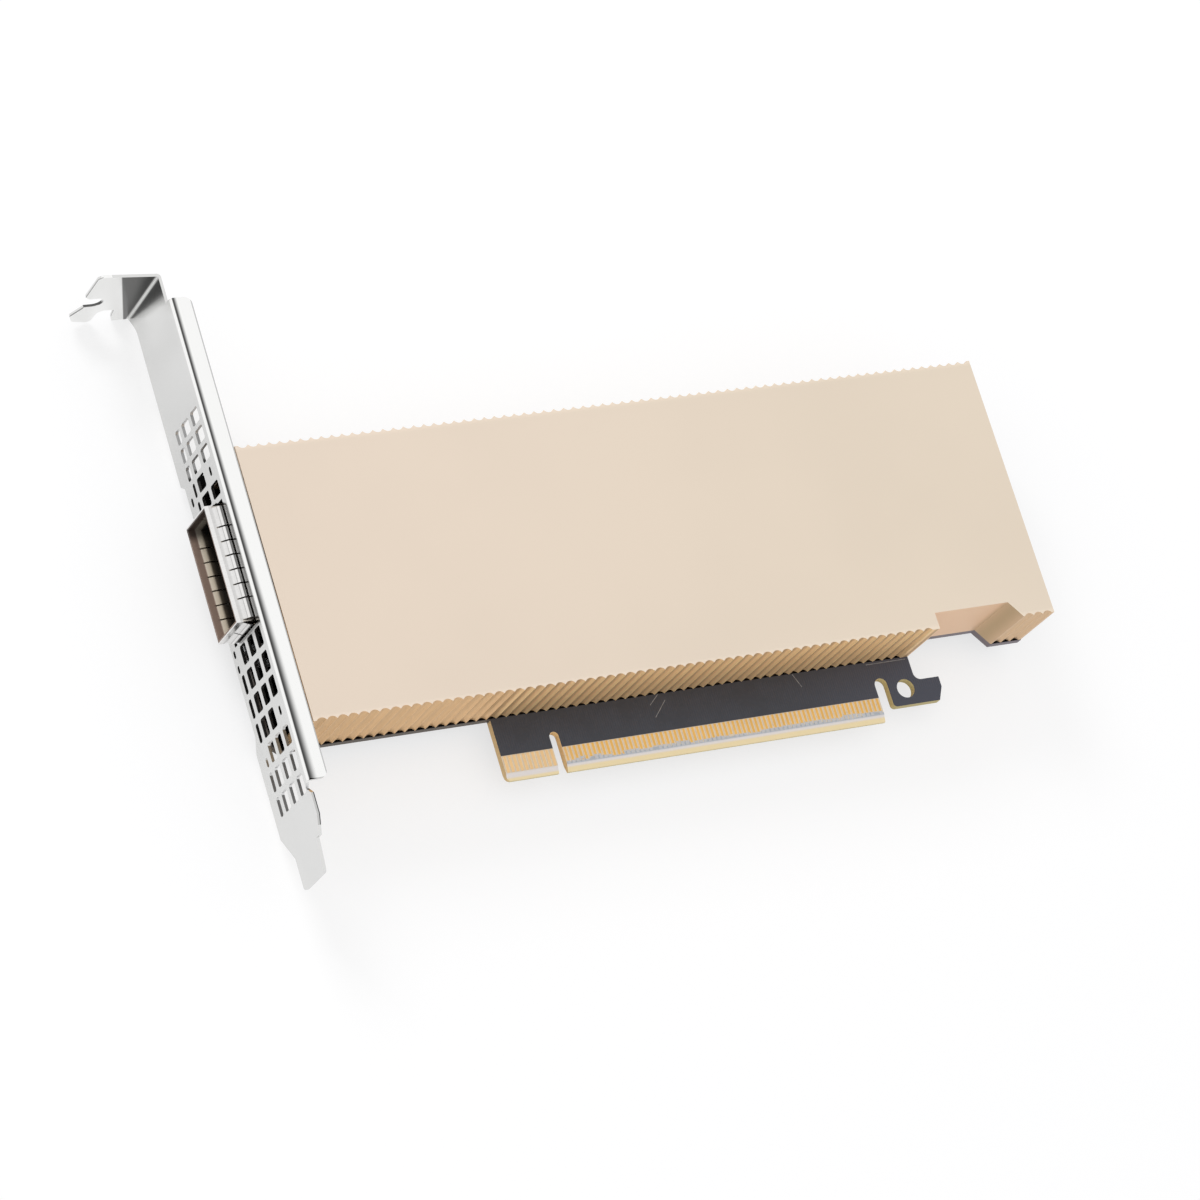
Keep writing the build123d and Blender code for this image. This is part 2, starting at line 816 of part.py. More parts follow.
def bend_section(reach_first, reach_second):
    """An L of sheet: a leg along +X, a leg along +Y, the outer corner at the origin."""
    section = slab(0, 0, reach_first, sheet) + slab(0, 0, sheet, reach_second)
    section = fillet(nearest(section, 0, 0), bend_outer)
    return fillet(nearest(section, sheet, sheet), bend_inner)


def mount_tab():
    """The folded tab with its screw slot, drawn in X from the face and Z; its root is the bend."""
    half = screw_slot_width / 2
    corners = [(-reach, z_screw_slot + rise) for reach, rise in tab_corners]
    plate = Polygon((-bend_inner, z_tab_near), *corners, (-bend_inner, z_tab_far), align=None)
    for x, z in corners[5:9]:
        plate = fillet(nearest(plate, x, z), tab_rounding)
    slot_end = screw_slot_depth - mount_tab_reach
    plate -= slab(-2 * mount_tab_reach, z_screw_slot - half, slot_end - half, z_screw_slot + half)
    plate -= Pos(slot_end - half, z_screw_slot) * Circle(half)
    return plate


def bracket():
    solid = pushed(across(x_bracket), bracket_face(), sheet)
    flange = bend_section(flange_depth, 2 * bend_outer)
    flange_plane = Plane(origin=(x_bracket, flange_high, z_flange), x_dir=(1, 0, 0), z_dir=(0, 1, 0))
    flange_solid = pushed(flange_plane, flange, flange_low - flange_high)
    far_corners = flange_solid.edges().filter_by(Axis.Z).sort_by(Axis.X)[-2:]
    solid += fillet(far_corners, flange_corner)
    bend_leg = bend_outer + bend_inner
    tab_bend = bend_section(bend_leg, bend_leg)
    tab_plane = Plane(origin=(x_inner, tab_underside + sheet, z_tab_far), x_dir=(-1, 0, 0),
                      z_dir=(0, 0, 1))
    solid += pushed(tab_plane, tab_bend, z_tab_near - z_tab_far)
    solid += pushed(lengthwise(tab_underside), Pos(x_bracket, 0) * mount_tab(), -sheet)
    ear = bend_section(ear_length, 2 * bend_outer)
    for y in (ear_low, ear_high):
        ear_plane = Plane(origin=(x_bracket, y + ear_width / 2, z_ear), x_dir=(1, 0, 0), z_dir=(0, -1, 0))
        solid += pushed(ear_plane, ear, ear_width)
        solid -= rod(ear_hole_x, y, z_ear - overshoot, back + overshoot, screw_radius + screw_clearance)
    holes = low_vents() + high_vents()
    holes.append(slab(port_middle - window_y, cage_mid - window_z,
                      port_middle + window_y, cage_mid + window_z))
    for hole in holes:
        solid -= pushed(across(x_bracket - sheet), hole, 3 * sheet)
    return solid


def screw(x, y, seat):
    """A screw from the back: its head under the seat, its shank up into the boss."""
    head = rod(x, y, seat - head_height, seat, head_radius)
    head = chamfer(head.edges().sort_by(Axis.Z)[0], head_corner)
    drive = Pos(x, y, 0) * raised(RegularPolygon(drive_side, 6), seat - head_height,
                                  seat - head_height + drive_depth)
    return head + rod(x, y, seat, face + screw_bite, screw_radius) - drive


def back_plate_outline(margin):
    half_x = post_spread + margin
    half_y = post_reach + margin
    outline = slab(processor_x - half_x, processor_y - half_y, processor_x + half_x, processor_y + half_y)
    outline = fillet(outline.vertices(), margin)
    half = plate_window / 2
    outline -= slab(processor_x - half, processor_y - half, processor_x + half, processor_y + half)
    for x, y in post_places():
        outline -= Pos(x, y) * Circle(screw_radius + screw_clearance)
    return outline


def back_plate():
    return raised(back_plate_outline(plate_margin), back - film_thick - plate_thick, back - film_thick)


def insulating_film():
    return raised(back_plate_outline(plate_margin + film_thick), back - film_thick, back)


def back_capacitors():
    """Rows under the processor, inside the back plate's window."""
    parts = []
    for i in range(back_chip_columns):
        for j in range(back_chip_rows):
            x = processor_x + (i - (back_chip_columns - 1) / 2) * back_chip_pitch
            y = processor_y + (j - (back_chip_rows - 1) / 2) * back_chip_pitch
            parts.append(centred(x, y, back - chip_height, chip_length, chip_width, chip_height))
    return parts


nodes = {
    "circuit_board": board(),
    "edge_contacts_front": contacts(face, face + contact_thick, short_front),
    "edge_contacts_back": contacts(back - contact_thick, back, short_back),
    "heatsink_cover": cover(),
    "fin_block": fin_block(),
    "processor_substrate": processor_substrate(),
    "processor_lid": processor_lid(),
    "power_inductors": inductors(),
    "thermal_pads": thermal_pads(),
    "power_stages": power_stages(),
    "bulk_capacitors": bulk_capacitors(),
    "ceramic_capacitors": ceramic_capacitors(),
    "clock_oscillator": oscillator(),
    "flash_chips": flash_chips(),
    "management_controller": controller(),
    "port_cage": cage(),
    "cage_spring_collar": spring_collar(),
    "module_connector": connector(),
    "module_contacts": connector_contacts(),
    "cage_heat_spreader": heat_spreader(),
    "spreader_clip": spreader_clip(),
    "light_guides": light_guides(),
    "indicator_lamps": lamps(),
    "mounting_bracket": bracket(),
    "bracket_screws": [screw(x, y, z_ear) for x, y in ear_screw_places()],
    "cover_screws": [screw(x, y, back) for x, y in cover_screw_places()],
    "insulating_film": insulating_film(),
    "processor_back_plate": back_plate(),
    "back_plate_screws": [screw(x, y, back - film_thick - plate_thick) for x, y in post_places()],
    "back_capacitors": back_capacitors(),
}

os.makedirs("parts", exist_ok=True)
for name, shape in nodes.items():
    whole = Compound(children=list(shape)) if isinstance(shape, list) else shape
    export_step(whole, f"parts/{name}.step")
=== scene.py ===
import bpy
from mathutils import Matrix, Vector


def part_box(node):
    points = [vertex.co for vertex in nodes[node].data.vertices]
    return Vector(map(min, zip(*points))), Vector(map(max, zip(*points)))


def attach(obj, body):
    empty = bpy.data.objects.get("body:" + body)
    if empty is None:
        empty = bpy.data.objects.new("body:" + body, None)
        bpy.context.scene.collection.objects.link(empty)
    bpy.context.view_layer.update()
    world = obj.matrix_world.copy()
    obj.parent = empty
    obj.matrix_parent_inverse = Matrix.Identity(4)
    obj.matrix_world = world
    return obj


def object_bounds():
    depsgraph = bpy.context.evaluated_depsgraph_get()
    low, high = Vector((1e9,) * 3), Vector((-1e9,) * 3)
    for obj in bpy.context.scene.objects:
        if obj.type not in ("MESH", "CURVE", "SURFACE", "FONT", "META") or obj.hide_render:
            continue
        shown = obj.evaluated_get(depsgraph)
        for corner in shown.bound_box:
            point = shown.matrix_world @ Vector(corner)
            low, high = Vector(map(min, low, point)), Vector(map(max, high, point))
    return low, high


bl_info = {
    "name": "Ethernet adapter card",
    "version": (1, 0, 0),
    "blender": (4, 5, 0),
    "location": "View3D > Sidebar > Card",
    "description": "Dresses the packed adapter card and sets its stage, lights and camera",
    "category": "Object",
}

import bpy
import numpy as np
from bpy.props import FloatProperty, FloatVectorProperty, PointerProperty
from mathutils import Matrix, Vector

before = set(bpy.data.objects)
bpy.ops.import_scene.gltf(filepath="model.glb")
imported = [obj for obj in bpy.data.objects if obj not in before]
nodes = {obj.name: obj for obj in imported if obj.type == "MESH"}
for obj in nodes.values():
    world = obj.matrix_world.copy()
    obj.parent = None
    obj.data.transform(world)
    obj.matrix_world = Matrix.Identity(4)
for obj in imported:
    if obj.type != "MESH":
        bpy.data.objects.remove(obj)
cad_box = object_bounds()

MM = 0.001
BOARD_LOW, BOARD_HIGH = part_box("circuit_board")
COVER_LOW, COVER_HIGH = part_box("heatsink_cover")
CAGE_LOW, CAGE_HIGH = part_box("port_cage")
BRACKET_LOW, BRACKET_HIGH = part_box("mounting_bracket")
FACE = BOARD_HIGH.z
BACK = BOARD_LOW.z

# Places on the board
CONTACT_PITCH = 1.0 * MM
SLOT_MIDDLE = 73.5 * MM             # the second slot, between the contacts and the hook
TRACKS_LOW, TRACKS_HIGH = 5.2 * MM, 11.8 * MM
BODY_LOW = 12.3 * MM                # edges above this belong to the board's body
LANE_PITCH = 0.625 * MM             # tracks on the back
CERAMIC_LENGTH = 1.6 * MM           # a ceramic capacitor, along its row
# Light scratches on the mask: their ends in millimetres
SCRATCHES = (((22.1, 10.6), (24.6, 12.7)), ((22.5, 8.0), (25.6, 11.2)), ((55.98, 9.6), (54.7, 12.5)),
             ((71.6, 12.14), (80.8, 12.16)))

# Places on the heatsink cover
COVER_TOP, COVER_WALL = 1.2 * MM, 2.1 * MM      # what lies deeper than both is its inside
FAR_SIDE = 40.0 * MM                # flutes past this are on the far long side
OVER_BLADE = (-13.5 * MM, -10.0 * MM)           # where the flutes come over the board's blade
CUT_START, CUT_SLANT, CUT_END, CUT_TOP = 81.3 * MM, 98.6 * MM, 101.4 * MM, 16.2 * MM
FLUTE_PITCH = 2.158 * MM
FLUTE_COUNT = int((COVER_HIGH.x - COVER_LOW.x) // FLUTE_PITCH)
FLUTE_FIRST = (COVER_LOW.x + COVER_HIGH.x - (FLUTE_COUNT - 1) * FLUTE_PITCH) / 2

# Places on the bracket and the port
COLLAR_REACH = 3.3 * MM             # how far the cage stands out of the bracket, with its collar
FACE_X = CAGE_LOW.x + COLLAR_REACH  # the bracket's outer face
FLANGE = 4.25 * MM                  # how far the flange reaches from the outer face
FLANGE_LOW = BRACKET_LOW.y + 16.52 * MM
TAB_Y = BRACKET_HIGH.y - 0.6 * MM   # underside of the folded tab
# A point of the slanting line that ends the painted dark reflection at the root under the tab, and how X
# changes with Z on it
ROOT_X, ROOT_Z, ROOT_SLANT = FACE_X - 2.07 * MM, -2.14 * MM, -0.345
SCREW_SLOT = (1.9 * MM, 4.5 * MM)   # Z of the tab's screw slot, by its shaded wall
HOLES_LOW, HOLES_HIGH = -1.0 * MM, 79.5 * MM
# Heights from which the holes' walls mirror the card's lower edge, its dark inside and the open room
EDGE_LOW, CARD_LOW, CARD_HIGH = 9.7 * MM, 14.5 * MM, 68.5 * MM

TIN = (0.66, 0.66, 0.65)

# The photograph's camera: lens and sensor in millimetres, its place in metres, and its own right, down
# and forward directions.
CAMERA_LENS, CAMERA_SENSOR = 140.5, 36.0
CAMERA_PLACE = Vector((-0.40585, -0.23222, 0.75837))
CAMERA_AXES = ((0.875745, -0.282752, 0.391308), (-0.121489, -0.913529, -0.388207),
               (0.467237, 0.292431, -0.834370))

LAMP_PLACE, LAMP_SIZE, LAMP_POWER = Vector((-0.45, 1.15, 0.75)), (0.6, 0.4), 7.5
ROOM_LIGHT = 0.80                   # the room's strength on the card, where the page shows as 1
PAGE_GLOW = 0.675                   # what lifts the lit floor to the page's white
FLOOR_REACH = 2.5


def colour(name, text, default):
    """A colour property, given in linear values."""
    return FloatVectorProperty(name=name, description=text, subtype="COLOR", size=3,
                               min=0, max=1, default=default)


def length(name, text, default):
    """A length property, in metres."""
    return FloatProperty(name=name, description=text, unit="LENGTH", subtype="DISTANCE",
                         min=0, default=default)


class CardColours(bpy.types.PropertyGroup):
    cover: colour("Cover", "Champagne anodising of the heatsink cover", (0.807, 0.688, 0.572))
    # The flutes' colour is partly deeper anodising and partly painted shade and reflection between the
    # flutes.
    flute_dye_and_shade: colour("Flutes", "Deeper anodising in the flutes", (0.87, 0.59, 0.325))
    mask: colour("Solder mask", "Near-black mask on the board", (0.0345, 0.0400, 0.0560))
    laminate: colour("Laminate", "Bare glass-epoxy between the contacts", (0.80, 0.70, 0.55))
    laminate_edge: colour("Laminate edge", "Milled edge of the board", (0.98, 0.72, 0.38))
    gold: colour("Gold", "Plating of the edge contacts", (0.86, 0.50, 0.13))
    bracket: colour("Bracket", "Bright plated sheet", (0.648, 0.648, 0.640))
    cage: colour("Cage", "Nickel plating of the port cage", (0.60, 0.56, 0.51))
    collar: colour("Spring collar", "Plated spring fingers round the port", (0.86, 0.85, 0.84))
    fins: colour("Fins", "Bare extruded aluminium", (0.66, 0.65, 0.63))
    floor: colour("Floor", "Pale floor of the stage", (0.34, 0.34, 0.344))


class CardSizes(bpy.types.PropertyGroup):
    blast_grain: length("Blast grain", "Size of the cover's blasted grain", 0.00022)
    streak: length("Streak", "Width of the cutter's streaks in the flutes", 0.0005)
    contact_zone: length("Contact zone", "How far the mask stays clear of the gold edge", 0.0050)
    bevel: length("Bevel", "Height of the gold edge's bevel", 0.00155)
    joint: length("Solder joint", "Radius of the cage's solder joints on the back", 0.00062)
    pad: length("Test pad", "Radius of the test pads on the back", 0.00045)
    chip: length("Chip", "Length of the small chips on the back", 0.0016)


class Wire:
    """A socket in a node tree. Arithmetic on it adds Math nodes."""

    def __init__(self, owner, socket):
        self.owner = owner
        self.socket = socket

    def math(self, operation, *others):
        values = dict(enumerate((self, *others)))
        return self.owner.node("ShaderNodeMath", {"operation": operation}, values)

    def __add__(self, other):
        return self.math("ADD", other)

    def __sub__(self, other):
        return self.math("SUBTRACT", other)

    def __mul__(self, other):
        return self.math("MULTIPLY", other)

    def __rsub__(self, other):
        return self.math("MULTIPLY_ADD", -1, other)

    __radd__ = __add__
    __rmul__ = __mul__

    def size(self):
        return self.math("ABSOLUTE")

    def below(self, level, soft=0.0):
        """1 where this is under the level, 0 over it, with a soft step."""
        return self.rises(level + soft, level - soft) if soft else self.math("LESS_THAN", level)

    def above(self, level, soft=0.0):
        """1 where this is over the level, 0 under it, with a soft step."""
        return self.rises(level - soft, level + soft) if soft else self.math("GREATER_THAN", level)

    def between(self, low, high):
        """1 from one level to another."""
        return self.above(low) * self.below(high)

    def near(self, level, reach, soft):
        """1 within a reach of a level, with a soft step."""
        return (self - level).size().below(reach, soft)

    def rises(self, low, high, start=0.0, end=1.0):
        """A smooth step from one value to another as this goes from low to high."""
        settings = {"interpolation_type": "SMOOTHSTEP"}
        return self.owner.node("ShaderNodeMapRange", settings,
                               {"Value": self, "From Min": low, "From Max": high,
                                "To Min": start, "To Max": end})

    def from_middle(self, pitch):
        """0 in the middle of each pitch and 0.5 at its ends, where this is a whole number of them."""
        return ((self * (1 / pitch)).math("FRACT") - 0.5).size()


def tint_value(tint):
    """A colour as a socket takes it: a wire as it is, three numbers with an alpha of 1."""
    return tint if isinstance(tint, Wire) else (*tint, 1)


class Tree:
    """The emptied node tree of a material or world."""

    def __init__(self, owner):
        owner.use_nodes = True
        self.tree = owner.node_tree
        self.tree.nodes.clear()

    def node(self, kind, settings, sockets, output=0):
        """One node: its settings first, then the values or links of its sockets."""
        made = self.tree.nodes.new(kind)
        for key, value in settings.items():
            if key == "stops":
                ramp = made.color_ramp.elements
                while len(ramp) < len(value):
                    ramp.new(0.5)
                for element, (at, tint) in zip(ramp, value):
                    element.position = at
                    element.color = (*tint, 1)
            else:
                setattr(made, key, value)
        for key, value in sockets.items():
            if isinstance(value, Wire):
                self.tree.links.new(value.socket, made.inputs[key])
            else:
                made.inputs[key].default_value = value
        return Wire(self, made.outputs[output]) if made.outputs else None


class Finish(Tree):
    """A procedural material, and the sums that the finishes share."""

    def __init__(self, name):
        self.material = bpy.data.materials.new(name)
        super().__init__(self.material)
        self.place = self.node("ShaderNodeTexCoord", {}, {}, "Object")
        self.facing = self.node("ShaderNodeNewGeometry", {}, {}, "Normal")

    def axis(self, letter, vector=None):
        """One coordinate of the place, or of another vector."""
        return self.node("ShaderNodeSeparateXYZ", {}, {0: vector or self.place}, letter)

    def axes(self, vector=None):
        """All three coordinates."""
        return [self.axis(letter, vector) for letter in "XYZ"]

    def noise(self, size, detail=2.0, rough=0.5, vector=None):
        """Soft noise whose features are about one size across."""
        return self.node("ShaderNodeTexNoise", {}, {"Vector": vector or self.place, "Scale": 1 / size,
                                                    "Detail": detail, "Roughness": rough})

    def lines(self, scale, detail=2.0, rough=0.5):
        """Noise drawn out into lines, with one size for its features along each axis."""
        drawn = self.node("ShaderNodeMapping", {"vector_type": "TEXTURE"},
                          {"Vector": self.place, "Scale": scale})
        return self.noise(1.0, detail, rough, drawn)

    def cells(self, size, output="Distance"):
        """Cells about one size across: the distance from their middles, or a colour for each."""
        return self.node("ShaderNodeTexVoronoi", {}, {"Vector": self.place, "Scale": 1 / size}, output)

    def ramp(self, stops, along):
        """A colour ramp's stops, read along a value."""
        return self.node("ShaderNodeValToRGB", {"stops": stops}, {0: along})

    def mix(self, factor, first, second):
        """One colour turning into another."""
        return self.node("ShaderNodeMix", {"data_type": "RGBA"},
                         {0: factor, 6: tint_value(first), 7: tint_value(second)}, 2)

    def drift(self, guide, tint, change, low=0.3, high=0.7):
        """A colour that turns into a change of itself as the guide goes from low to high."""
        return self.mix(guide.rises(low, high), tint, tuple(v * change for v in tint))

    def shade(self, tint, factor):
        """A colour made darker or lighter by a factor."""
        grey = self.node("ShaderNodeCombineColor", {}, {0: factor, 1: factor, 2: factor})
        return self.node("ShaderNodeMix", {"data_type": "RGBA", "blend_type": "MULTIPLY"},
                         {0: 1.0, 6: tint_value(tint), 7: grey}, 2)

    def scratch(self, x, y, start, end, width=0.00009):
        """1 on a straight mark between two places on the board, fading over its width."""
        run = Vector((end[0] - start[0], end[1] - start[1])) * MM
        span = run.length
        run /= span
        from_x, from_y = x - start[0] * MM, y - start[1] * MM
        along = from_x * run.x + from_y * run.y
        across = (from_x * run.y - from_y * run.x).size()
        return across.rises(0.0, width, 1.0, 0.0) * along.between(0.0, span)

    def bump(self, height, distance, strength=1.0, normal=None):
        """A relief of a height times a distance, on top of another relief where one is given."""
        sockets = {"Height": height, "Distance": distance, "Strength": strength}
        if normal is not None:
            sockets["Normal"] = normal
        return self.node("ShaderNodeBump", {}, sockets)

    def surface(self, tint, rough, metal, normal=None, fixed=()):
        """Ends the tree in one Principled shader; fixed holds what is the same all over."""
        sockets = {"Base Color": tint_value(tint), "Roughness": rough, "Metallic": metal}
        if normal is not None:
            sockets["Normal"] = normal
        sockets.update(fixed)
        shader = self.node("ShaderNodeBsdfPrincipled", {}, sockets)
        self.node("ShaderNodeOutputMaterial", {}, {"Surface": shader})
        return self.material


def dress(material, *names):
    """Puts one material on CAD nodes."""
    for name in names:
        mesh = nodes[name].data
        mesh.materials.clear()
        mesh.materials.append(material)


def lattice(xs, ys):
    """Every pair of an x and a y, in millimetres, as places in metres."""
    return np.stack(np.meshgrid(xs, ys), -1).reshape(-1, 2) * MM


def ring_faces(levels, around, count):
    """Faces for parts that are stacks of rings: quads between the rings and a fan at each end.

    The points of one part are its rings in order, then the middle of its first and of its last ring.
    """
    rings = np.arange(levels * around).reshape(levels, around)
    after = np.roll(rings, -1, 1)
    sides = np.stack((rings[:-1], rings[1:], after[1:], after[:-1]), -1).reshape(-1, 4)
    near = np.stack((np.full(around, rings.size), rings[0], after[0]), -1)
    far = np.stack((np.full(around, rings.size + 1), after[-1], rings[-1]), -1)
    start = (np.arange(count) * (rings.size + 2))[:, None, None]
    blocks = [(block + start).reshape(-1, block.shape[1]).tolist() for block in (sides, near, far)]
    return sum(blocks, [])


def studs(name, places, half, profile, power, material, around=12):
    """Like small parts in rows on the board's back, as one piece.

    Each part is a stack of closed rings. Round a ring the place is the part's half sizes times the
    signed power of the cosine and the sine of the angle: power 1 gives a circle, a small one a rounded
    box. The profile gives each ring's share of the half sizes and its depth under the board's back. A
    middle point closes each end. The attribute "along" runs from -1 to 1 over a part's long side.
    """
    angle = np.linspace(0, 2 * np.pi, around, endpoint=False)
    wave = np.stack((np.cos(angle), np.sin(angle)), -1)
    loop = np.sign(wave.round(9)) * np.abs(wave) ** power
    share, depth = np.array(profile, float).T
    levels, count = len(share), len(places)
    rings = share[:, None, None] * loop
    flat = places[:, None, None, :] + rings * np.array(half)
    height = np.broadcast_to((BACK - depth)[:, None, None], (count, levels, around, 1))
    ring_points = np.concatenate((flat, height), -1).reshape(count, -1, 3)
    middles = np.empty((count, 2, 3))
    middles[..., :2] = places[:, None, :]
    middles[..., 2] = BACK - depth[[0, -1]]
    points = np.concatenate((ring_points, middles), 1)
    along = rings[..., 0 if half[0] >= half[1] else 1].reshape(-1)
    along = np.tile(np.concatenate((along, (0.0, 0.0))), count)

    mesh = bpy.data.meshes.new(name)
    mesh.from_pydata(points.reshape(-1, 3).tolist(), [], ring_faces(levels, around, count))
    mesh.attributes.new("along", "FLOAT", "POINT").data.foreach_set("value", along)
    mesh.update()
    made = bpy.data.objects.new(name, mesh)
    bpy.context.scene.collection.objects.link(made)
    mesh.materials.append(material)
    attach(made, "root")


def fluted_side(f, x, y, streak, colours):
    """The flutes are deeper in colour than the top, partly as painted shade, and darkest along their middles
    over the blade.
    """
    flute_dye_and_shade = f.mix(y.above(FAR_SIDE), colours.flute_dye_and_shade, (0.80, 0.63, 0.46))
    flute_dye_and_shade = f.shade(flute_dye_and_shade, streak.rises(0.35, 0.75, 1.03, 0.92))
    # Painted light across each flute: a painted highlight by its edges and painted shade along its middle.
    ridge = (x - FLUTE_FIRST).from_middle(FLUTE_PITCH)
    depth = x.rises(*OVER_BLADE, 0.15, 1.0) * x.rises(CUT_SLANT, CUT_END, 1.0, 0.25)
    flute_dye_and_shade = f.shade(flute_dye_and_shade, 1 + ridge.rises(0.08, 0.46, 0.30, -0.28) * depth)
    return f.mix(x.rises(CUT_SLANT, CUT_END, 0.0, 0.7), flute_dye_and_shade, (0.80, 0.60, 0.41))


def cut_out_walls(f, x):
    """The cut-out's walls are plain, and its slanted one is darker with painted shade."""
    slant = x.rises(CUT_SLANT - 0.0018, CUT_SLANT + 0.0012)
    slant = slant * x.rises(CUT_END - 0.0016, CUT_END + 0.0008, 1.0, 0.3)
    return f.mix(slant, (0.94, 0.665, 0.455), (0.60, 0.44, 0.265))


def anodised_cover(colours, sizes):
    """Blasted, champagne-anodised aluminium: fine grain on top, upright cutter streaks in the flutes."""
    f = Finish("champagne anodising")
    x, y, z = f.axes()
    side = f.axis("Z", f.facing).size().below(0.5, 0.2)
    cloud = f.noise(0.05, 3)
    streak = f.lines((sizes.streak, sizes.streak, 0.02), 3, 0.6)
    far = tuple(v * change for v, change in zip(colours.cover, (0.975, 0.988, 0.970)))
    top = f.mix(x.rises(COVER_LOW.x, COVER_HIGH.x), colours.cover, far)
    top = f.shade(top, cloud.rises(0.3, 0.7, 0.985, 1.015))
    # A painted highlight along the top's long edges.
    rim = (y - COVER_LOW.y).below(0.0008, 0.0004) + (COVER_HIGH.y - y).below(0.0008, 0.0004)
    top = f.shade(top, 1 + rim * 0.06)
    cut = x.between(CUT_START, CUT_END) * y.below(CUT_TOP)
    tint = f.mix(side, top, f.mix(cut, fluted_side(f, x, y, streak, colours), cut_out_walls(f, x)))
    # Painted shade: the cover's inside is darkened, except where the cut-out opens it.
    inside = y.between(COVER_LOW.y + COVER_WALL, COVER_HIGH.y - COVER_WALL)
    inside = inside * z.below(COVER_HIGH.z - COVER_TOP)
    tint = f.shade(tint, 1 - inside * (1 - cut) * 0.75)
    grain = f.noise(sizes.blast_grain, 2)
    rough = 0.46 + grain * 0.08 + side * streak * 0.06
    fine = f.bump(grain, 0.00002, 0.35)
    lined = f.bump(streak * side * (1 - cut), 0.00005, 0.4, fine)
    return f.surface(tint, rough, 0.55, lined)


def bare_laminate(f, x, y, speck, colours, sizes):
    """Pale laminate between the contacts, with a blue-grey rim under their ends and a warm bevel."""
    bare = f.drift(speck, colours.laminate, 1.08, 0.35, 0.65)
    rim = (y + f.noise(0.0035, 2).rises(0.35, 0.65, -0.0003, 0.0004)).below(0.0020, 0.0001)
    bare = f.mix(rim, bare, f.mix(x.above(0.0), (0.80, 0.72, 0.60), (0.50, 0.55, 0.61)))
    bare = f.mix(y.below(sizes.bevel - 0.0001, 0.0002), bare, (0.90, 0.85, 0.83))
    lowest = (y + x.below(0.0) * 0.0004).below(0.00095, 0.00025)
    return f.mix(lowest, bare, (1.0, 0.83, 0.50))


def milled_edges(f, x, y, colours):
    """Layered laminate along the blade, yellower at the hook, and dull round the board's body."""
    layer = f.lines((0.004, 0.004, 0.00014))
    edge = f.drift(layer, colours.laminate_edge, 1.2)
    edge = f.mix(x.above(SLOT_MIDDLE), edge, (0.74, 0.62, 0.30))
    body = f.mix(x.rises(0.06, 0.09), (0.155, 0.130, 0.112), (0.30, 0.265, 0.29))
    edge = f.mix(y.above(BODY_LOW, 0.0001), edge, body)
    return f.mix(y.below(0.0001), edge, (1.0, 0.86, 0.50))


def masked_board(colours, sizes):
    """Solder mask over laminate, bare in the contact zone and on every milled edge."""
    f = Finish("board")
    x, y = f.axis("X"), f.axis("Y")
    facing_z = f.axis("Z", f.facing)
    flat = facing_z.size().above(0.75, 0.05)
    blotch, speck = f.noise(0.006, 3), f.noise(0.0006, 2)
    mask = f.drift(blotch, colours.mask, 1.15, 0.35)
    mask = f.shade(mask, speck.rises(0.4, 0.8, 0.96, 1.10))
    mask = f.mix(x.rises(0.050, 0.078), mask, (0.052, 0.058, 0.084))
    # Escape tracks run up from the contacts, two a pitch apart, and turn the mask a shade lighter.
    track = x.from_middle(CONTACT_PITCH / 2).below(0.24, 0.06)
    track_zone = y.rises(TRACKS_LOW, TRACKS_LOW + 0.0010) * y.below(TRACKS_HIGH, 0.0006)
    track_zone = track_zone * blotch.above(0.42, 0.02)
    mask = f.shade(mask, 1 + track * track_zone * 0.10)
    marks = sum((f.scratch(x, y, *ends) for ends in SCRATCHES[1:]), f.scratch(x, y, *SCRATCHES[0]))
    marks = marks * facing_z.above(0.0)
    mask = f.mix(marks * speck.rises(0.3, 0.6, 0.5, 0.95), mask, (0.42, 0.42, 0.43))
    # On the back, tracks run in bundles one way or the other, with ringed vias between them.
    zone = y.below(sizes.contact_zone, 0.00004) * x.below(SLOT_MIDDLE)
    back = facing_z.below(-0.75, 0.05) * (1 - zone)
    way = f.axis("X", f.cells(0.016, "Color")).above(0.5)
    lane = (y * way + x * (1 - way)).from_middle(LANE_PITCH).below(0.22, 0.07)
    lane = lane * f.noise(0.010, 2).above(0.50, 0.015)
    spot = f.cells(0.0032)
    ring = spot.below(0.115, 0.02) - spot.below(0.055, 0.02)
    mask = f.shade(mask, 1 + back * (lane * 0.5 + ring * 1.3))
    plane = f.mix(zone, mask, bare_laminate(f, x, y, speck, colours, sizes))
    # The front is black in the shade of the cover's flutes.
    dark = y.above(COVER_LOW.y + 0.00005, 0.00005) * facing_z.above(0.75, 0.05)
    plane = f.mix(dark, plane, (0.004, 0.004, 0.004))
    tint = f.mix(flat, milled_edges(f, x, y, colours), plane)
    rough = 0.60 - flat * 0.22 + blotch * 0.08
    relief = f.bump(track * track_zone + back * (lane + ring) - marks, 0.00003, 0.5)
    return f.surface(tint, rough, dark, relief)


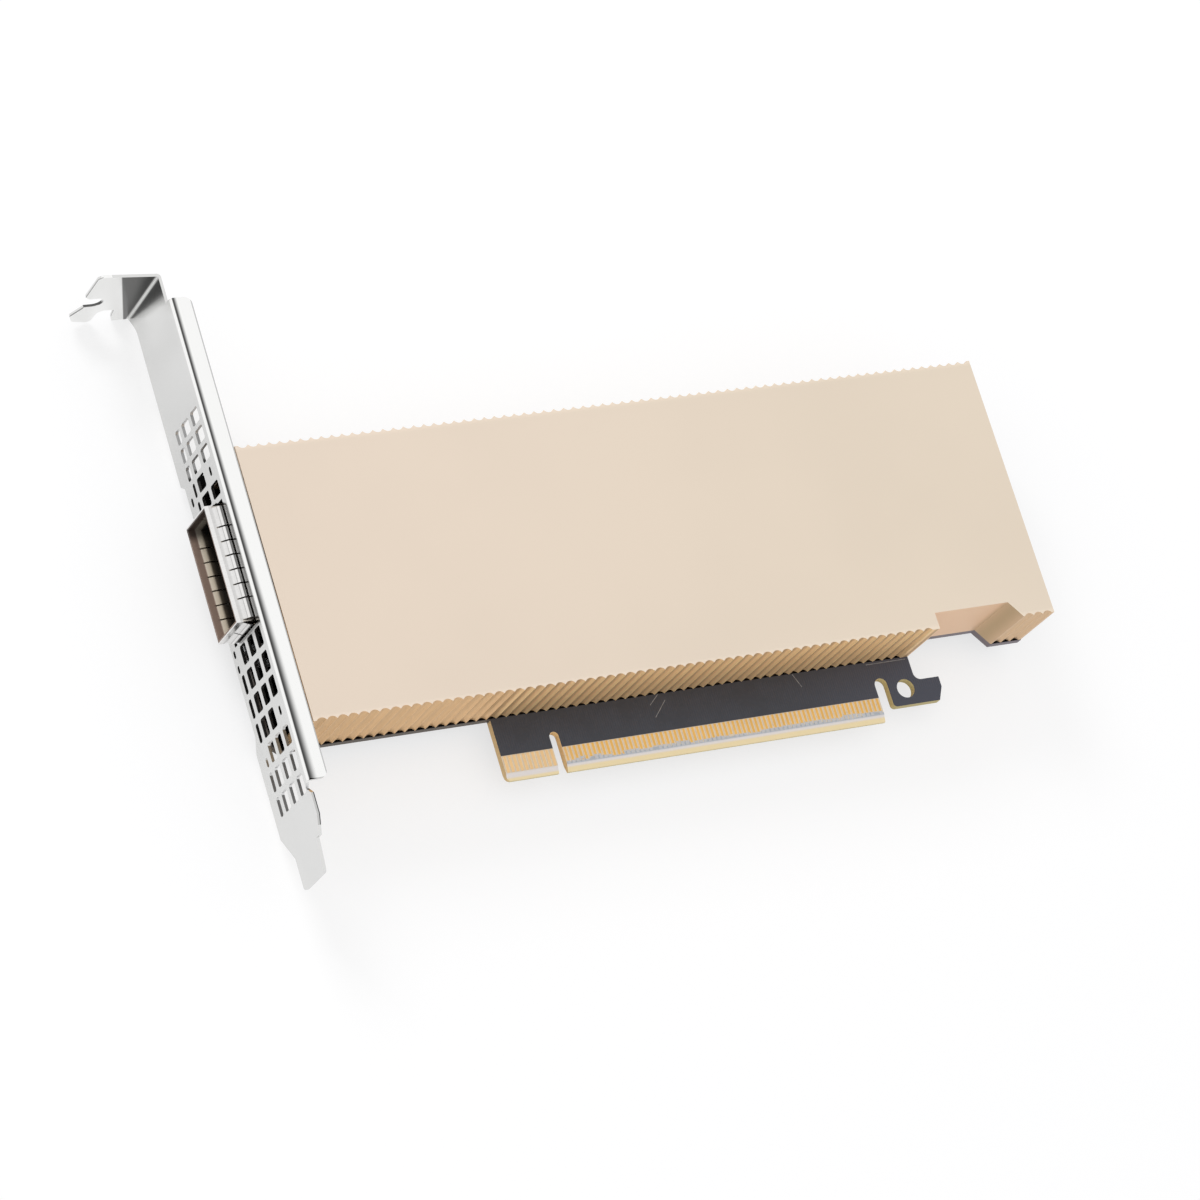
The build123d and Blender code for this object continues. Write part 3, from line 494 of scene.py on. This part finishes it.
def plated_gold(colours):
    """Hard gold with faint insertion marks along the card's push direction."""
    f = Finish("contact gold")
    x, y = f.axis("X"), f.axis("Y")
    rub = f.lines((0.00012, 0.006, 0.01))
    tint = f.drift(f.noise(0.004, 2), colours.gold, 0.9)
    # A pale sheen near the bracket's end, fading into deeper gold along the card.
    pale = tuple(v * 0.55 + 0.42 for v in colours.gold)
    tint = f.mix(x.rises(-0.002, 0.004, 0.45, 0.0), tint, pale)
    # Their long edges shine, and blue-grey rub marks reach up their lower ends in steps.
    shine = x.from_middle(CONTACT_PITCH).rises(0.19, 0.31, 0.0, 0.62)
    tint = f.mix(shine, tint, f.mix(x.above(0.0), (0.93, 0.76, 0.53), (0.93, 0.80, 0.66)))
    step = f.axis("X", f.cells(0.0028, "Color"))
    worn = (y - step * 0.0009).below(0.00175, 0.0001) * x.above(0.0)
    tint = f.mix(worn * 0.85, tint, (0.50, 0.56, 0.63))
    tint = f.shade(tint, rub.rises(0.3, 0.8, 1.0, 0.92))
    return f.surface(tint, 0.24 + rub * 0.14, 0.8, f.bump(rub, 0.00001, 0.4))


def plated_sheet(name, tint, rough):
    """Rolled and plated sheet: long faint grain, cloudy sheen and small rub marks."""
    f = Finish(name)
    cloud = f.noise(0.012, 3)
    rolled = f.lines((0.0001, 0.0128, 0.0003))
    mark = f.noise(0.0012, 4, 0.7)
    body = f.shade(f.drift(cloud, tint, 0.94), mark.rises(0.62, 0.8, 1.0, 0.93))
    gloss = rough + cloud * 0.08 + rolled * 0.05
    return f.surface(body, gloss, 1.0, f.bump(rolled, 0.00001, 0.25))


def flange_painted_light(f, body, place, facing_z):
    """Painted light on the flange: lighter all over, one soft dark line where its bend ends and a darker
    rim.
    """
    x, y, z = place
    flange = facing_z.above(0.35, 0.2) * z.above(BRACKET_HIGH.z - 0.0009)
    body = f.mix(flange, body, (0.93, 0.93, 0.92))
    reach = x - FACE_X
    line_end = y.rises(0.08, 0.0, 0.00145, 0.0023)
    line = reach.rises(0.00035, 0.00055) * reach.rises(0.00060, line_end, 1.0, 0.0)
    rim = reach.above(FLANGE - 0.00022, 0.00008) * 0.45 + y.below(FLANGE_LOW + 0.0002, 0.0001) * 0.4
    return f.shade(body, 1 - facing_z.above(0.86, 0.04) * flange * (line * 0.93 + rim))


def tab_painted_light(f, body, place, facing):
    """Under the folded tab, its root and the sheet below it mirror each other darkly as painted reflections.
    """
    x, y, z = place
    facing_x, facing_y, facing_z = facing
    underside = facing_y.below(-0.7, 0.1) * y.above(TAB_Y - 0.0002)
    root = ((z - ROOT_Z) * ROOT_SLANT - (x - ROOT_X)).below(0.0, 0.00015) * underside
    below = (y + (z - ROOT_Z) * 0.22).rises(TAB_Y - 0.003, TAB_Y + 0.001) * y.below(TAB_Y + 0.0002)
    below = below * facing_x.below(-0.7, 0.1)
    fold = facing_z.size().below(0.4) * y.near(TAB_Y, 0.0005, 0.0002) * x.near(FACE_X, 0.0005, 0.0002)
    body = f.shade(body, (1 - root * 0.80 * (1 - fold)) * (1 - below * 0.72 * (1 - fold)))
    # A painted highlight on the rest of the tab's underside.
    body = f.shade(body, 1 + underside * (1 - root) * 0.21)
    # Painted shade on the wall of the tab's screw slot.
    slot = y.above(TAB_Y + 0.0001) * z.between(*SCREW_SLOT) * x.below(ROOT_X)
    return f.shade(body, 1 - slot * facing_y.size().below(0.3) * facing_z.above(0.2, 0.1) * 0.85)


def hole_wall_reflections(f, y, facing_y):
    """Painted reflections: black in front of the card, warm at its lower edge, grey below it and light above
    it.
    """
    wall = f.mix(y.above(EDGE_LOW, 0.0002), (0.16, 0.16, 0.16), (0.40, 0.34, 0.26))
    wall = f.mix(y.above(CARD_LOW, 0.0002), wall, (0.010, 0.009, 0.008))
    wall = f.mix(y.above(CARD_HIGH, 0.0004), wall, (0.42, 0.42, 0.42))
    open_top = facing_y.below(-0.6, 0.1) * (1 - y.between(CARD_LOW, CARD_HIGH))
    return f.mix(open_top, wall, (0.8, 0.8, 0.8))


def bracket_sheet(colours):
    """The bracket's bright sheet: duller punched edges with painted reflections, painted dark and light
    bands by its bends.
    """
    f = Finish("bracket sheet")
    place, facing = f.axes(), f.axes(f.facing)
    x, y, z = place
    facing_x, facing_y, facing_z = facing
    cloud = f.noise(0.014, 3)
    rolled = f.lines((0.0001, 0.012, 0.0003))
    mark = f.noise(0.0011, 4, 0.7)
    # Painted light: the sheet is lighter towards its lower end and again towards its top end.
    body = f.drift(y, colours.bracket, 1.14, 0.075, -0.01)
    body = f.shade(body, y.rises(0.070, 0.090, 1.0, 1.14))
    body = f.shade(body, cloud.rises(0.3, 0.7, 1.0, 0.98) * mark.rises(0.62, 0.8, 1.0, 0.96))
    body = flange_painted_light(f, body, place, facing_z)
    body = tab_painted_light(f, body, place, facing)
    punched = x.below(FACE_X + 0.0008) * (1 - facing_x.size().above(0.6, 0.1))
    punched = punched * y.rises(HOLES_LOW - 0.001, HOLES_LOW) * y.below(HOLES_HIGH)
    punched = punched * z.between(BACK - 0.0014, FACE + 0.0136)
    body = f.mix(punched * 0.92, body, hole_wall_reflections(f, y, facing_y))
    gloss = 0.16 + cloud * 0.05 + rolled * 0.04 + punched * 0.3
    return f.surface(body, gloss, 1.0, f.bump(rolled, 0.00001, 0.12))


def collar_sheet(colours):
    """Bright spring sheet with painted light: pale outside, darker past the fingers' crest, warm and dim in
    the mouth.
    """
    f = Finish("spring plating")
    x, y, z = f.axes()
    cloud = f.noise(0.008, 3)
    drawn = f.lines((0.002, 0.0003, 0.0003))
    body = f.shade(f.drift(cloud, colours.collar, 0.96), drawn.rises(0.4, 0.7, 1.0, 0.95))
    # Painted light from the rim to the bracket: white band, darker band, pale fingers, bright crest, dark
    # slope.
    inward = (x - CAGE_LOW.x) * (1 / COLLAR_REACH)
    painted_light_bands = ((0.0, 1.0), (0.16, 1.0), (0.20, 0.78), (0.34, 0.80), (0.42, 0.96), (0.57, 0.90), (0.61, 0.55),
             (0.63, 1.0), (0.735, 1.0), (0.77, 0.24), (0.86, 0.42), (1.0, 0.85))
    body = f.shade(body, f.ramp([(at, (v, v, v)) for at, v in painted_light_bands], inward))
    # The mouth is painted with reflections and shade: brown at the rim, a pale warm band, dark deeper in and
    # under its top.
    warm = ((0.0, (0.31, 0.22, 0.175)), (0.36, (0.31, 0.22, 0.175)), (0.40, (0.82, 0.73, 0.60)),
            (0.60, (0.70, 0.61, 0.48)), (0.78, (0.10, 0.08, 0.06)), (1.0, (0.03, 0.025, 0.02)))
    mouth = f.shade(f.ramp(warm, inward), y.rises(CAGE_HIGH.y - 0.0035, CAGE_HIGH.y - 0.0012, 1.0, 0.22))
    inside = z.between(CAGE_LOW.z + 0.0001, CAGE_HIGH.z - 0.0001)
    inside = inside * y.between(CAGE_LOW.y + 0.0001, CAGE_HIGH.y - 0.0001)
    body = f.mix(inside, body, mouth)
    rough = 0.20 + cloud * 0.06 + inside * 0.25
    return f.surface(body, rough, 1 - inside * 0.9, f.bump(drawn, 0.00001, 0.2))


def moulded(name, tint, rough, grain=0.0003, sheen=0.0):
    """Moulded resin with a fine even grain and a slight cloud."""
    f = Finish(name)
    body = f.drift(f.noise(0.004, 2), tint, 1.18)
    fine = f.noise(grain, 2)
    return f.surface(body, rough + fine * 0.12, 0.0, f.bump(fine, 0.00002, 0.3), {"Coat Weight": sheen})


def clear_moulding(name, tint):
    """Clear resin with a faint swirl."""
    f = Finish(name)
    swirl = f.noise(0.003, 2)
    body = f.mix(swirl, tint, tuple(v * 0.95 for v in tint))
    return f.surface(body, 0.12 + swirl * 0.06, 0.0,
                     fixed={"Coat Weight": 0.3, "Transmission Weight": 0.75, "IOR": 1.49})


def extruded(colours):
    """Bare extruded aluminium with die lines along the fins."""
    f = Finish("extruded aluminium")
    drawn = f.lines((0.03, 0.00012, 0.00012), 3, 0.6)
    tint = f.shade(f.drift(f.noise(0.01, 2), colours.fins, 0.9), drawn.rises(0.3, 0.7, 0.94, 1.04))
    return f.surface(tint, 0.34 + drawn * 0.12, 0.9, f.bump(drawn, 0.00002, 0.4))


def fired_ceramic(node, letter, count):
    """Ceramic capacitors in rows: tan bodies with tinned ends, found from their pitch along one axis."""
    f = Finish(node.replace("_", " "))
    first, last = (getattr(corner, letter.lower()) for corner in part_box(node))
    pitch = (last - first - CERAMIC_LENGTH) / (count - 1)
    start = first + (CERAMIC_LENGTH - pitch) / 2
    end = ((f.axis(letter) - start).from_middle(pitch) * pitch).above(CERAMIC_LENGTH * 0.31, 0.00003)
    speck = f.noise(0.0002, 2)
    body = f.mix(speck.rises(0.3, 0.7), (0.34, 0.22, 0.13), (0.42, 0.28, 0.17))
    return f.surface(f.mix(end, body, TIN), 0.45 - end * 0.15 + speck * 0.1, end,
                     f.bump(speck, 0.00001, 0.3))


def tinned_chip(name, tint):
    """Small chips: a dull body between two tinned ends, by their place along the part."""
    f = Finish(name)
    end = f.node("ShaderNodeAttribute", {"attribute_name": "along"}, {}, "Fac").size().above(0.58, 0.03)
    speck = f.noise(0.00025, 2)
    body = f.mix(end, f.drift(speck, tint, 1.2), TIN)
    return f.surface(body, 0.48 - end * 0.18 + speck * 0.1, end, f.bump(speck, 0.00001, 0.3))


class CARD_OT_board(bpy.types.Operator):
    """Masks the board and gilds its contacts"""

    bl_idname = "card.board"
    bl_label = "Board and contacts"

    def execute(self, context):
        colours, sizes = context.scene.card_colours, context.scene.card_sizes
        dress(masked_board(colours, sizes), "circuit_board")
        dress(plated_gold(colours), "edge_contacts_front", "edge_contacts_back", "module_contacts")
        return {"FINISHED"}


class CARD_OT_cover(bpy.types.Operator):
    """Anodises the fluted cover and finishes the fins under it"""

    bl_idname = "card.cover"
    bl_label = "Heatsink cover and fins"

    def execute(self, context):
        colours, sizes = context.scene.card_colours, context.scene.card_sizes
        dress(anodised_cover(colours, sizes), "heatsink_cover")
        dress(extruded(colours), "fin_block", "cage_heat_spreader")
        return {"FINISHED"}


class CARD_OT_components(bpy.types.Operator):
    """Finishes the processor and the small parts on the board"""

    bl_idname = "card.components"
    bl_label = "Components"

    def execute(self, context):
        dress(moulded("package substrate", (0.030, 0.085, 0.045), 0.42), "processor_substrate")
        dress(plated_sheet("package lid", (0.60, 0.59, 0.58), 0.34), "processor_lid")
        dress(moulded("pressed powder", (0.075, 0.075, 0.080), 0.6), "power_inductors")
        dress(moulded("thermal pad", (0.36, 0.41, 0.47), 0.8, 0.0005), "thermal_pads")
        dress(moulded("black resin", (0.022, 0.022, 0.025), 0.48), "power_stages", "flash_chips",
              "management_controller")
        dress(moulded("capacitor moulding", (0.040, 0.038, 0.036), 0.45), "bulk_capacitors")
        dress(fired_ceramic("ceramic_capacitors", "Y", 8), "ceramic_capacitors")
        dress(fired_ceramic("back_capacitors", "X", 4), "back_capacitors")
        dress(plated_sheet("plated can", (0.70, 0.69, 0.67), 0.28), "clock_oscillator")
        dress(clear_moulding("clear resin", (0.90, 0.88, 0.74)), "indicator_lamps")
        return {"FINISHED"}


class CARD_OT_port(bpy.types.Operator):
    """Finishes the transceiver cage, its spring collar and what is behind them"""

    bl_idname = "card.port"
    bl_label = "Transceiver port"

    def execute(self, context):
        colours = context.scene.card_colours
        dress(plated_sheet("cage nickel", colours.cage, 0.22), "port_cage")
        dress(collar_sheet(colours), "cage_spring_collar")
        dress(plated_sheet("clip sheet", (0.62, 0.62, 0.63), 0.3), "spreader_clip")
        dress(moulded("connector moulding", (0.016, 0.016, 0.018), 0.4), "module_connector")
        dress(clear_moulding("clear guide", (0.88, 0.90, 0.92)), "light_guides")
        return {"FINISHED"}


class CARD_OT_bracket(bpy.types.Operator):
    """Plates the mounting bracket"""

    bl_idname = "card.bracket"
    bl_label = "Mounting bracket"

    def execute(self, context):
        dress(bracket_sheet(context.scene.card_colours), "mounting_bracket")
        return {"FINISHED"}


class CARD_OT_back(bpy.types.Operator):
    """Finishes the back plate, its film and the screws"""

    bl_idname = "card.back"
    bl_label = "Back plate and screws"

    def execute(self, context):
        dress(plated_sheet("back plate steel", (0.56, 0.56, 0.57), 0.32), "processor_back_plate")
        dress(moulded("insulating film", (0.030, 0.030, 0.033), 0.3, 0.0005, 0.3), "insulating_film")
        dress(plated_sheet("screw plating", (0.60, 0.60, 0.61), 0.26), "bracket_screws",
              "cover_screws", "back_plate_screws")
        return {"FINISHED"}


class CARD_OT_small_parts(bpy.types.Operator):
    """Adds the cage's solder joints, the test pads and the small chips on the board's back"""

    bl_idname = "card.small_parts"
    bl_label = "Small parts on the back"

    def execute(self, context):
        sizes = context.scene.card_sizes
        circle, rounded_box = 1.0, 0.22
        legs = (CAGE_LOW.y / MM + 0.3, CAGE_HIGH.y / MM - 0.3)
        dome = [(1.0, 0.0), (0.94, 0.12 * MM), (0.74, 0.28 * MM), (0.42, 0.39 * MM), (0.14, 0.43 * MM)]
        studs("cage_solder_joints", lattice(np.linspace(-43, -9, 7), legs), (sizes.joint, sizes.joint), dome,
              circle, plated_sheet("solder", (0.66, 0.66, 0.67), 0.26))

        disc = [(1.0, 0.0), (1.0, 0.02 * MM), (0.97, 0.03 * MM)]
        pads = np.concatenate((lattice(np.arange(-38, -6, 3.2), (26.0, 29.0)),
                               lattice((64.0, 67.0, 70.0, 73.0), (19.0,)),
                               lattice((102.0,), np.arange(28, 46, 3.0))))
        studs("test_pads", pads, (sizes.pad, sizes.pad), disc, circle,
              plated_sheet("pad gold", (0.86, 0.60, 0.26), 0.26), 16)

        long, wide, tall = sizes.chip / 2, sizes.chip / 4, sizes.chip / 2
        box = [(0.97, 0.0), (1.0, 0.05 * MM), (1.0, tall - 0.08 * MM), (0.93, tall)]
        power = lattice(np.arange(66, 95, 6.5), np.arange(25, 60, 5.4))
        studs("power_chips", power, (long, wide), box, rounded_box,
              tinned_chip("tan chips", (0.36, 0.24, 0.14)))

        # The chips of the signals and lanes have the same form, but are smaller.
        smaller = 0.62
        long, wide = long * smaller, wide * smaller
        box = [(share, depth * smaller) for share, depth in box]
        signal = np.concatenate((lattice(np.arange(-40, -10, 4.4), (40.0, 44.2, 48.4, 52.6)),
                                 lattice(np.arange(-2, 10, 3.4), np.arange(24, 58, 4.1))))
        studs("signal_chips", signal, (long, wide), box, rounded_box,
              tinned_chip("black chips", (0.03, 0.03, 0.032)))
        lanes = lattice(np.concatenate((np.arange(3, 69, 4.0), np.arange(4, 70, 4.0))), (8.6,))
        studs("lane_chips", lanes, (wide, long), box, rounded_box,
              tinned_chip("brown chips", (0.30, 0.19, 0.11)))
        return {"FINISHED"}


def rays_that_see_the_page(tree):
    """1 for rays from the camera, from a mirror or through glass, 0 for the rest."""
    names = ("Is Camera Ray", "Is Glossy Ray", "Is Transmission Ray")
    first, second, third = (tree.node("ShaderNodeLightPath", {}, {}, name) for name in names)
    return (first + second + third).math("MINIMUM", 1.0)


def floor_finish(colours):
    """Pale floor: lit as it is, and lifted to the page's white where the page is seen."""
    f = Finish("pale floor")
    soft = f.node("ShaderNodeBsdfDiffuse", {}, {"Color": (*colours.floor, 1)})
    glow = f.node("ShaderNodeEmission", {}, {"Color": (1, 1, 1, 1),
                                             "Strength": rays_that_see_the_page(f) * PAGE_GLOW})
    both = f.node("ShaderNodeAddShader", {}, {0: soft, 1: glow})
    f.node("ShaderNodeOutputMaterial", {}, {"Surface": both})
    return f.material


def lay_floor(colours):
    """A flat floor under the object's lowest point."""
    corners = [(-1, -1), (1, -1), (1, 1), (-1, 1)]
    floor = bpy.data.meshes.new("floor")
    floor.from_pydata([(x * FLOOR_REACH, y * FLOOR_REACH, cad_box[0].z) for x, y in corners], [],
                      [(0, 1, 2, 3)])
    made = bpy.data.objects.new("floor", floor)
    bpy.context.scene.collection.objects.link(made)
    floor.materials.append(floor_finish(colours))


def light_room():
    """An even pale room, white where the page is seen."""
    world = bpy.data.worlds.new("studio")
    room = Tree(world)
    strength = ROOM_LIGHT + rays_that_see_the_page(room) * (1 - ROOM_LIGHT)
    shade = room.node("ShaderNodeBackground", {}, {"Color": (1, 1, 1, 1), "Strength": strength})
    room.node("ShaderNodeOutputWorld", {}, {"Surface": shade})
    bpy.context.scene.world = world


def hang_lamp():
    """A soft lamp that looks at the middle of the card."""
    data = bpy.data.lights.new("key", "AREA")
    data.shape = "RECTANGLE"
    data.size, data.size_y = LAMP_SIZE
    data.energy = LAMP_POWER
    made = bpy.data.objects.new("key", data)
    made.location = LAMP_PLACE
    made.rotation_mode = "QUATERNION"
    low, high = cad_box
    made.rotation_quaternion = ((low + high) / 2 - LAMP_PLACE).to_track_quat("-Z", "Y")
    # Its mirror image would bleach the cover at low angles, so only its soft light counts.
    made.visible_glossy = False
    bpy.context.scene.collection.objects.link(made)


def set_camera():
    """The photograph's camera."""
    camera = bpy.data.cameras.new("camera")
    camera.sensor_width = CAMERA_SENSOR
    camera.lens = CAMERA_LENS
    camera.clip_start = 0.01
    camera.clip_end = 20
    eye = bpy.data.objects.new("camera", camera)
    right, down, ahead = Matrix(CAMERA_AXES)
    turn = Matrix((right, -down, -ahead)).transposed()
    eye.matrix_world = Matrix.Translation(CAMERA_PLACE) @ turn.to_4x4()
    bpy.context.scene.collection.objects.link(eye)
    bpy.context.scene.camera = eye


class CARD_OT_stage(bpy.types.Operator):
    """Lays the floor, hangs the lamp and sets the camera"""

    bl_idname = "card.stage"
    bl_label = "Stage"

    def execute(self, context):
        lay_floor(context.scene.card_colours)
        light_room()
        hang_lamp()
        set_camera()
        context.scene.view_settings.view_transform = "Standard"
        return {"FINISHED"}


class CARD_PT_panel(bpy.types.Panel):
    """Lists the card's steps in the sidebar"""

    bl_label = "Adapter card"
    bl_idname = "CARD_PT_panel"
    bl_space_type = "VIEW_3D"
    bl_region_type = "UI"
    bl_category = "Card"

    def draw(self, context):
        column = self.layout.column()
        for operator in OPERATORS:
            column.operator(operator.bl_idname)
        for group in (context.scene.card_colours, context.scene.card_sizes):
            for name in group.bl_rna.properties.keys():
                if name not in ("rna_type", "name"):
                    column.prop(group, name)


OPERATORS = (CARD_OT_board, CARD_OT_cover, CARD_OT_components, CARD_OT_port, CARD_OT_bracket,
             CARD_OT_back, CARD_OT_small_parts, CARD_OT_stage)
CLASSES = (CardColours, CardSizes, *OPERATORS, CARD_PT_panel)


def register():
    for item in CLASSES:
        bpy.utils.register_class(item)
    bpy.types.Scene.card_colours = PointerProperty(type=CardColours)
    bpy.types.Scene.card_sizes = PointerProperty(type=CardSizes)


def unregister():
    del bpy.types.Scene.card_colours
    del bpy.types.Scene.card_sizes
    for item in reversed(CLASSES):
        bpy.utils.unregister_class(item)


def main():
    register()
    bpy.ops.card.board()
    bpy.ops.card.cover()
    bpy.ops.card.components()
    bpy.ops.card.port()
    bpy.ops.card.bracket()
    bpy.ops.card.back()
    bpy.ops.card.small_parts()
    bpy.ops.card.stage()


if __name__ == "__main__":
    main()
